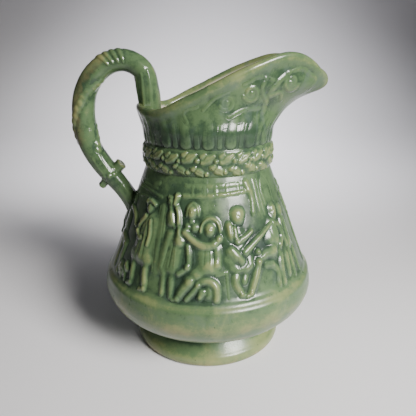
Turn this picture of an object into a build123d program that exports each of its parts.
from build123d import *
import os
from math import atan2, cos, degrees, radians, sin

# Relief-moulded ceramic pitcher, about a quart. Millimetres, +Z up. The origin is the centre of the
# foot's resting ring; the spout points along +X and the handle along -X. Every clay piece that is
# made apart and luted on with slip is a node of its own, touching its neighbour face to face.

# ---- driving dimensions ------------------------------------------------------------------------
WALL = 4.2                    # wall thickness of the body and the neck
FOOT_R = 54.0                 # widest radius of the foot ring
JOINT_Z = 20.0                # height where the foot ring meets the body
JOINT_R = 45.0                # outer radius of that joint
FLOOR_T = 6.0                 # thickness of the body's floor
BELLY_R = 75.0                # widest radius of the belly
BELLY_Z = 47.0                # its height
CONE_BOTTOM = (69.5, 60.0)    # radius and height where the straight cone starts, above the belly roll
CONE_TOP = (42.5, 129.5)      # radius and height where it ends, under the garland band
NECK_R = 42.0                 # radius of the throat behind the garland band
LUTE_Z = 138.0                # height of the joint between the body and the neck, hidden by the band
BAND_TOP = 146.5              # top of the garland band
BAND_T = 2.4                  # how far the band stands out
THROAT_TOP = 157.0            # height where the round throat ends and the spout starts to draw out
THROAT_R = 43.8               # outer radius there
TIP_X = 76.0                  # reach of the spout's tip
RELIEF = 2.2                  # height of the figure sprigs
TRIM = 1.2                    # height of the scroll, petal and leaf sprigs
KEY = 0.4                     # how deep the scroll sprigs are keyed into the spout's scored wall
TOOL_START = 34.0             # distance from the axis where the cutters for neck sprigs start
FRONT = -90.0                 # azimuth of the near side, between the handle and the spout
PETALS = 20                   # large petals round the throat; a small one stands between each pair
GARLAND_LEAVES = 24           # leaves in each of the garland's two rows
HALF_TURN = 180.0

nodes = {}


# ---- body, foot and band -----------------------------------------------------------------------
def turned(outline):
    """A solid of revolution about Z from a face drawn in the XZ plane."""
    return revolve(outline, axis=Axis.Z)


def foot_ring():
    """A hollow pedestal ring: rounded bead at the bottom, hollow curve up to the joint."""
    with BuildSketch(Plane.XZ) as s:
        with BuildLine():
            Polyline((JOINT_R, JOINT_Z), (JOINT_R - 9, JOINT_Z), (JOINT_R - 2, 0.0), (FOOT_R - 3.5, 0.0))
            Spline((FOOT_R - 3.5, 0.0), (FOOT_R, 4.5), (FOOT_R - 2.0, 9.0), (JOINT_R + 3.2, 14.0),
                   (JOINT_R, JOINT_Z), tangents=((1, 0), (0, 1)))
        make_face()
    return turned(s.sketch)


def body_shell():
    """Belly and cone in one hollow piece with a flat floor, open at the top."""
    floor_z = JOINT_Z + FLOOR_T
    cone_r, cone_z = CONE_BOTTOM
    top_r, top_z = CONE_TOP
    with BuildSketch(Plane.XZ) as s:
        with BuildLine():
            Polyline((0, floor_z), (0, JOINT_Z), (JOINT_R + 1.0, JOINT_Z))
            Spline((JOINT_R + 1.0, JOINT_Z), (62.0, 27.0), (71.8, 36.5), (BELLY_R, BELLY_Z),
                   (BELLY_R - 1.8, 54.0), (cone_r, cone_z), tangents=((1, 0.15), (-27.0, 69.5)))
            Polyline((cone_r, cone_z), (top_r, top_z), (NECK_R, top_z + 1.5), (NECK_R, LUTE_Z),
                     (NECK_R - WALL, LUTE_Z), (NECK_R - WALL, top_z), (cone_r - WALL, cone_z))
            Spline((cone_r - WALL, cone_z), (BELLY_R - WALL - 0.6, BELLY_Z + 1.0), (64.0, 35.0),
                   (46.0, floor_z), tangents=((27.0, -69.5), (-1, 0)))
            Line((46.0, floor_z), (0, floor_z))
        make_face()
    return turned(s.sketch)


# ---- neck and spout ----------------------------------------------------------------------------
# Each section: height, reach towards the spout, half width, reach towards the handle, tip roundness.
OUTER_SECTIONS = (
    (THROAT_TOP, THROAT_R, THROAT_R, THROAT_R, 1.0),
    (163.0, 47.6, 42.4, 45.6, 0.85),
    (168.0, 52.0, 41.8, 46.6, 0.70),
    (173.0, 58.5, 41.6, 47.2, 0.62),
    (178.0, 68.0, 41.8, 47.6, 0.56),
    (182.0, TIP_X, 42.2, 48.0, 0.52),
    (191.0, 80.5, 42.6, 48.4, 0.48),
    (206.0, 82.0, 43.0, 48.8, 0.46),
)
INNER_SECTIONS = (
    (THROAT_TOP, THROAT_R - WALL, THROAT_R - WALL, THROAT_R - WALL, 1.0),
    (165.0, 42.4, 37.8, 41.8, 0.84),
    (173.0, 50.0, 37.4, 43.2, 0.66),
    (179.0, 60.0, 37.6, 43.8, 0.57),
    (184.0, 69.5, 38.0, 44.2, 0.51),
    (190.0, 75.5, 38.4, 44.6, 0.47),
    (206.0, 77.5, 39.0, 45.0, 0.44),
)
# The rim seen from the side: it dips beside the handle, climbs to the spout and rolls down to the tip.
RIM_LINE = ((-56.0, 171.0), (-46.0, 170.0), (-38.0, 168.4), (-31.0, 168.2), (-24.0, 170.6),
            (-18.0, 173.8), (-4.0, 180.3), (11.0, 187.6), (34.0, 197.4), (45.0, 200.5), (54.0, 200.0),
            (61.0, 197.4), (69.0, 191.2), (74.2, 185.0), (75.8, 178.0))


def section(z, front, side, back, round_tip, grow=0.0):
    """A closed teardrop wire: an ellipse at the back, drawing in to the spout at the front."""
    points = []
    steps = 5
    for k in range(4 * steps):
        angle = radians(90.0 * k / steps)
        reach = front if cos(angle) > 0 else back
        s = abs(sin(angle))
        width = round_tip * s + (1 - round_tip) * s ** 3 if cos(angle) > 0 else s
        y = (side + grow) * width * (1 if sin(angle) >= 0 else -1)
        points.append(((reach + grow) * cos(angle), y))
    with BuildSketch(Plane.XY.offset(z)) as s:
        with BuildLine():
            Spline(*points, periodic=True)
        make_face()
    return s.sketch


def funnel(sections, grow=0.0):
    """The solid inside a stack of teardrop sections, from the throat to above the rim."""
    return loft([section(*row, grow=grow) for row in sections])


def throat():
    """The round tube under the spout, from the joint up to where the spout starts."""
    corners = ((NECK_R - WALL, LUTE_Z), (NECK_R, LUTE_Z), (NECK_R, BAND_TOP), (THROAT_R, THROAT_TOP),
               (THROAT_R - WALL, THROAT_TOP), (NECK_R - WALL, BAND_TOP))
    with BuildSketch(Plane.XZ) as s:
        Polygon(*corners, align=None)
    return turned(s.sketch)


def throat_layer():
    """The layer just outside the throat, above the garland band, that the petals are cut from."""
    corners = ((NECK_R, BAND_TOP), (NECK_R + TRIM, BAND_TOP), (THROAT_R + TRIM, THROAT_TOP),
               (THROAT_R, THROAT_TOP))
    with BuildSketch(Plane.XZ) as s:
        Polygon(*corners, align=None)
    return turned(s.sketch)


def rim_cutter():
    """Everything above and in front of the rim line, to trim a funnel to the rim's shape."""
    far, high = 140.0, 240.0
    with BuildSketch(Plane.XZ) as s:
        with BuildLine():
            Spline(*RIM_LINE)
            Polyline(RIM_LINE[-1], (far, RIM_LINE[-1][1]), (far, high), (-far, high),
                     (-far, RIM_LINE[0][1]), RIM_LINE[0])
        make_face()
    return extrude(s.sketch, amount=far, both=True)


# ---- handle ------------------------------------------------------------------------------------
# Centre line in the XZ plane with the branch's radius at each point, from the rim to the cone.
HANDLE_LINE = (
    ((-40.0, 163.0), 8.2), ((-39.5, 178.0), 7.1), ((-42.5, 191.0), 6.6), ((-53.0, 196.8), 6.6),
    ((-63.5, 195.2), 6.7), ((-73.5, 188.0), 6.8), ((-80.0, 177.5), 7.0), ((-82.9, 165.0), 7.2),
    ((-82.6, 151.5), 7.1), ((-79.2, 139.0), 6.9), ((-73.5, 129.0), 6.7), ((-66.5, 120.0), 6.4),
    ((-60.0, 111.0), 5.8), ((-54.0, 101.0), 5.8), ((-49.0, 91.0), 6.6),
)
KNOT_AT = (-68.0, 122.0)      # where the two cut twigs leave the branch
INNER_TWIG_TIP = (-59.6, 129.6)
OUTER_TWIG_TIP = (-75.6, 112.4)
BINDING_PARTS = (0.27, 0.295, 0.32, 0.345)   # where the four binding cords stand along the handle
VINE_PARTS = (0.36, 0.66)     # the stretch of the handle that the twisted leaf covers
STRAND_STARTS = (20.0, 200.0)  # angles round the branch where its two strands start
STRAND_TURNS = 0.8


def handle_path():
    return Spline(*[(x, 0.0, z) for (x, z), _ in HANDLE_LINE])


def across(path, part):
    """The plane square to the handle's centre line at a share of its length."""
    return Plane(origin=path @ part, z_dir=path % part)


def handle_radius(part):
    """The branch's radius at a share of its length, read between the listed ones."""
    place = part * (len(HANDLE_LINE) - 1)
    k = min(int(place), len(HANDLE_LINE) - 2)
    return HANDLE_LINE[k][1] + (place - k) * (HANDLE_LINE[k + 1][1] - HANDLE_LINE[k][1])


def branch(path, grow=0.0):
    """The round branch, lofted through circles square to its centre line."""
    rings = []
    for k in range(len(HANDLE_LINE)):
        part = k / (len(HANDLE_LINE) - 1)
        rings.append(across(path, part) * Circle(handle_radius(part) + grow))
    return loft(rings)


def twig(tip, root_r, tip_r):
    """A cut twig: a tapered stub from the branch's middle to its flat cut end."""
    (x0, z0), (x1, z1) = KNOT_AT, tip
    length = ((x1 - x0) ** 2 + (z1 - z0) ** 2) ** 0.5
    plane = Plane(origin=(x0, 0, z0), z_dir=(x1 - x0, 0, z1 - z0))
    return plane * Cone(root_r, tip_r, length, align=(Align.CENTER, Align.CENTER, Align.MIN))


def vine(path, start_angle, turns, radius):
    """A leaf strand that twists along the branch, a round tube half sunk in it."""
    points = []
    steps = 10
    for k in range(steps + 1):
        part = VINE_PARTS[0] + (VINE_PARTS[1] - VINE_PARTS[0]) * k / steps
        plane = across(path, part)
        angle = radians(start_angle + HALF_TURN * 2 * turns * k / steps)
        reach = handle_radius(part) - 0.3
        points.append(plane.from_local_coords(Vector(reach * cos(angle), reach * sin(angle), 0)))
    line = Spline(*points)
    return sweep(Plane(origin=line @ 0, z_dir=line % 0) * Circle(radius), path=line)


# ---- sprigs: pads of clay cut to an outline and luted on a wall ----------------------------------
def capsule(a, b, radius):
    """A flat stroke with round ends from a to b."""
    (x0, y0), (x1, y1) = a, b
    length = ((x1 - x0) ** 2 + (y1 - y0) ** 2) ** 0.5
    if length < 1e-6:
        return Pos(x0, y0) * Circle(radius)
    angle = degrees(atan2(y1 - y0, x1 - x0))
    middle = Pos((x0 + x1) / 2, (y0 + y1) / 2)
    return middle * Rot(0, 0, angle) * SlotCenterToCenter(length, 2 * radius)


def silhouette(strokes):
    """The union of strokes: each is a radius and the points that it runs through."""
    pieces = []
    for radius, *points in strokes:
        ends = points[1:] or points
        pieces.extend(capsule(a, b, radius) for a, b in zip(points, ends))
    return pieces[0] + pieces[1:] if len(pieces) > 1 else pieces[0]


def facing(azimuth, start=0.0):
    """An upright plane that looks outward at an azimuth, its local Y straight up from the ground."""
    a = radians(azimuth)
    out = (cos(a), sin(a), 0)
    return Plane(origin=(start * out[0], start * out[1], 0), x_dir=(-out[1], out[0], 0), z_dir=out)


def cone_radius(z):
    """The cone's outer radius at a height."""
    (r0, z0), (r1, z1) = CONE_BOTTOM, CONE_TOP
    return r0 + (r1 - r0) * (z - z0) / (z1 - z0)


def cone_layer(inner, outer):
    """A layer that follows the cone, between two distances from its outer surface."""
    (r0, z0), (r1, z1) = CONE_BOTTOM, CONE_TOP
    corners = ((r0 + inner, z0), (r0 + outer, z0), (r1 + outer, z1), (r1 + inner, z1))
    with BuildSketch(Plane.XZ) as s:
        Polygon(*corners, align=None)
    return turned(s.sketch)


def cone_fill():
    """The cone as a full solid, to trim what ends on it."""
    (r0, z0), (r1, z1) = CONE_BOTTOM, CONE_TOP
    with BuildSketch(Plane.XZ) as s:
        Polygon((0, z0), (r0, z0), (r1, z1), (0, z1), align=None)
    return turned(s.sketch)


def cone_sprig(skin, centre, strokes, turn=0.0):
    """A sprig on the cone. Its strokes give degrees round from the front and height in mm."""
    flat = []
    for radius, *points in strokes:
        placed = [(cone_radius(z) * sin(radians(at - centre)), z) for at, z in points]
        flat.append((radius, *placed))
    block = extrude(facing(FRONT + centre + turn) * silhouette(flat), amount=BELLY_R + 10)
    return skin & block


# The frieze: people at a tavern, a dog, furniture and a room. For each sprig: the degrees round from
# the front where it is centred, then its strokes, each a radius in mm and points of (degrees, height).
FRIEZE = {
    "seated_drinker": (-74, (
        (3.8, (-75, 106)), (1.5, (-75, 101)), (4.3, (-75, 96), (-73, 87)), (3.2, (-73, 82), (-68, 80)),
        (2.1, (-67, 78), (-66, 63)))),
    "spaniel": (-57.5, ((4.0, (-59, 66), (-57, 66)), (1.6, (-54, 70)))),
    "coated_man": (-48, (
        (3.0, (-54, 112)), (1.3, (-61, 108), (-46, 109)), (3.0, (-54, 103), (-46, 103)),
        (4.0, (-50, 97), (-46, 88)), (4.8, (-48, 84), (-43, 83)), (2.0, (-49, 77), (-45, 63)),
        (2.0, (-40, 77), (-35, 63)))),
    "pillar": (-36, ((1.7, (-33.5, 68), (-34.5, 88), (-37, 110)),)),
    "cup_raiser": (-23, (
        (2.6, (-30, 114), (-25, 117)), (1.6, (-27, 112), (-21, 98)), (2.9, (-18.5, 97), (-21, 90)),
        (4.6, (-23, 82), (-23, 78)), (1.9, (-22, 74), (-21, 63)))),
    "woman": (-10, ((4.0, (-11, 111)), (2.2, (-10.5, 104.5)), (1.6, (-12, 102), (-8, 102)))),
    "hat_man": (-3, (
        (3.8, (1, 101)), (1.2, (-5, 104), (1, 108.5), (7, 104)), (1.9, (-14, 97), (-3, 93), (6, 95)),
        (4.4, (0, 91), (0, 83)), (2.4, (2, 80), (-8, 74)), (1.8, (-8, 74), (-14, 63)))),
    "hound": (-1, ((3.2, (0, 66), (-1, 69)), (1.3, (3, 69), (5, 62.5)), (1.2, (-4, 67), (-7, 62.5)))),
    "bench": (8.5, ((1.0, (6, 77), (10.5, 77)), (1.0, (9, 76), (9, 62.5)))),
    "chin_man": (17, (
        (4.6, (20, 109)), (1.6, (17, 104), (15, 98)), (1.7, (15, 97), (24, 97)), (4.0, (14, 93), (13, 87)),
        (3.6, (15, 82), (22, 81)), (2.1, (16, 77), (15, 70), (18, 64)), (1.6, (18, 63.5), (21, 63)))),
    "fiddler": (42, (
        (4.0, (54, 105)), (1.5, (29, 90), (46, 98)), (4.0, (52, 96), (45, 87)), (2.5, (46, 83), (33, 82)),
        (2.0, (31, 80), (27, 64)), (2.0, (46, 80), (44, 63.5)))),
    "listener": (64, (
        (3.4, (66, 103)), (3.9, (65, 95), (62, 84)), (1.9, (61, 79), (60, 63)), (1.9, (66, 79), (67, 63)))),
    "mantel": (8, (
        (1.2, (-18, 126), (34, 126)), (1.1, (-18, 120), (34, 120)), (0.8, (-12, 126), (-12, 120)),
        (0.8, (0, 126), (0, 120)), (0.8, (14, 126), (14, 120)), (0.8, (28, 126), (28, 120)))),
    "door_post": (37, ((1.3, (35, 108), (39, 127)),)),
    "arched_window": (54, ((4.2, (54, 115), (54, 123)),)),
    "awning": (-58, ((1.1, (-77, 116), (-42, 119)), (0.9, (-60, 117), (-48, 125)))),
}
SPOUT_TREE = (85, (
    (1.8, (84, 63), (83, 84), (86, 98)), (1.2, (86, 98), (80, 109)), (1.2, (86, 98), (91, 110)),
    (2.8, (80, 110)), (2.8, (91, 112)), (2.6, (85, 118))))
LOWER_PAD = (-90, ((7.2, (-90, 92), (-90, 99)), (1.8, (-90, 92), (-90, 80))))


def ring_of(flat, count, offset=0.0):
    """Copies of a flat outline pushed outward all round, as cutters for sprigs on the throat."""
    cutters = []
    for k in range(count):
        plane = facing(offset + 2 * HALF_TURN * k / count, TOOL_START)
        cutters.append(extrude(plane * flat, amount=BELLY_R - TOOL_START))
    return cutters[0] + cutters[1:]


def band_outline(extra=0.0):
    """The garland band's rounded face in the XZ plane, as a curve, moved outward by extra."""
    low = CONE_TOP[1] + 1.5
    middle = (low + BAND_TOP) / 2
    points = ((NECK_R + 0.9, low), (NECK_R + BAND_T, middle), (NECK_R + 0.7, BAND_TOP))
    return [(r + extra, z) for r, z in points]


def band_layer(inner, outer):
    """A ring between two outlines: the band itself, or the layer just outside it."""
    start = inner or [(NECK_R, z) for _, z in outer]
    with BuildSketch(Plane.XZ) as s:
        with BuildLine():
            ThreePointArc(*outer)
            Line(outer[-1], start[-1])
            if inner:
                ThreePointArc(*inner)
            else:
                Line(start[-1], start[0])
            Line(start[0], outer[0])
        make_face()
    return turned(s.sketch)


def garland_leaves(skin, z, lean, offset):
    """One row of leaves round the band, all leaning the same way."""
    flat = capsule((-lean, z - 1.7), (lean, z + 1.7), 1.8)
    return skin & ring_of(flat, GARLAND_LEAVES, offset)


# Spirals in side view: centre x and z, outer radius, start angle and direction of the winding.
SCROLLS = ((10.5, 173.0, 4.4, 200.0, 1), (24.5, 178.0, 4.8, 200.0, 1), (50.0, 184.0, 4.8, -20.0, -1))
CHEEK_LEAF = (
    (1.1, (36, 170), (38, 180), (44, 188)), (0.9, (36, 174), (31, 184)), (0.9, (39, 176), (46, 177)))


def spiral(x, z, radius, start, direction):
    """The points of a scroll that winds in from its outer radius, in side view."""
    steps = 14
    points = []
    for k in range(steps + 1):
        angle = radians(start + direction * 500.0 * k / steps)
        reach = radius * (1 - 0.72 * k / steps)
        points.append((x + reach * cos(angle), z + reach * sin(angle)))
    return points


def cheek_sprigs(skin, side, flat):
    """Sprigs on one cheek of the spout; side is -1 for the near one and 1 for the other."""
    return skin & extrude(Plane.XZ * flat, amount=-side * BELLY_R)


# ---- assembly ----------------------------------------------------------------------------------
def largest(shape):
    """The largest solid of a cut, so that no sliver is kept."""
    return max(shape.solids(), key=lambda one: one.volume)


def build_pot():
    nodes["foot_ring"] = foot_ring()
    nodes["body_shell"] = body_shell()
    nodes["garland_band"] = band_layer(None, band_outline())
    cutter = rim_cutter()
    nodes["throat"] = throat()
    nodes["spout"] = funnel(OUTER_SECTIONS) - funnel(INNER_SECTIONS) - cutter
    return cutter


def build_trim(cutter):
    """Petals, garland leaves and the scrolls on the spout's cheeks."""
    skin = funnel(OUTER_SECTIONS, grow=TRIM) - funnel(OUTER_SECTIONS, grow=-KEY) - cutter
    large = capsule((0, 151.0), (0, 159.0), 3.3)
    small = capsule((0, 149.4), (0, 159.0), 1.6)
    nodes["large_petals"] = throat_layer() & ring_of(large, PETALS)
    nodes["small_petals"] = throat_layer() & ring_of(small, PETALS, HALF_TURN / PETALS)
    band_skin = band_layer(band_outline(), band_outline(TRIM))
    nodes["upper_leaves"] = garland_leaves(band_skin, 142.4, 1.6, 0.0)
    nodes["lower_leaves"] = garland_leaves(band_skin, 135.0, -1.6, HALF_TURN / GARLAND_LEAVES)
    for side, name in ((-1, "near"), (1, "far")):
        for k, numbers in enumerate(SCROLLS):
            flat = silhouette(((0.75, *spiral(*numbers)),))
            nodes[f"{name}_scroll_{k + 1}"] = largest(cheek_sprigs(skin, side, flat))
        nodes[f"{name}_cheek_leaf"] = largest(cheek_sprigs(skin, side, silhouette(CHEEK_LEAF)))


def build_handle():
    neck = nodes["spout"]
    path = handle_path()
    solid = branch(path)
    nodes["handle_branch"] = largest(solid - neck - cone_fill())
    nodes["inner_twig"] = largest(twig(INNER_TWIG_TIP, 4.6, 3.4) - solid)
    nodes["outer_twig"] = largest(twig(OUTER_TWIG_TIP, 4.4, 2.0) - solid)
    rings = [across(path, part) * Torus(handle_radius(part) + 0.2, 0.9) for part in BINDING_PARTS]
    nodes["binding_cords"] = rings[0] + rings[1:] - solid
    for k, start in enumerate(STRAND_STARTS):
        strand = vine(path, start, STRAND_TURNS, 1.5)
        nodes[f"leaf_strand_{k + 1}"] = largest(strand - solid)


def build_frieze():
    """Every sprig on the cone. One that would run into an earlier one is cut back to meet it."""
    skin = cone_layer(0.0, RELIEF)
    pad = cone_sprig(cone_layer(0.0, TRIM), *LOWER_PAD) - branch(handle_path())
    nodes["lower_pad"] = largest(pad)
    for turn, ending in ((0.0, ""), (HALF_TURN, "_far")):
        done = []
        for name, (centre, strokes) in FRIEZE.items():
            piece = cone_sprig(skin, centre, strokes, turn)
            if done:
                piece = piece - done
            piece = largest(piece)
            done.append(piece)
            nodes[name + ending] = piece
    nodes["spout_tree"] = cone_sprig(skin, *SPOUT_TREE)


def main():
    cutter = build_pot()
    build_trim(cutter)
    build_handle()
    build_frieze()
    os.makedirs("parts", exist_ok=True)
    for name, shape in nodes.items():
        export_step(shape, f"parts/{name}.step")


main()
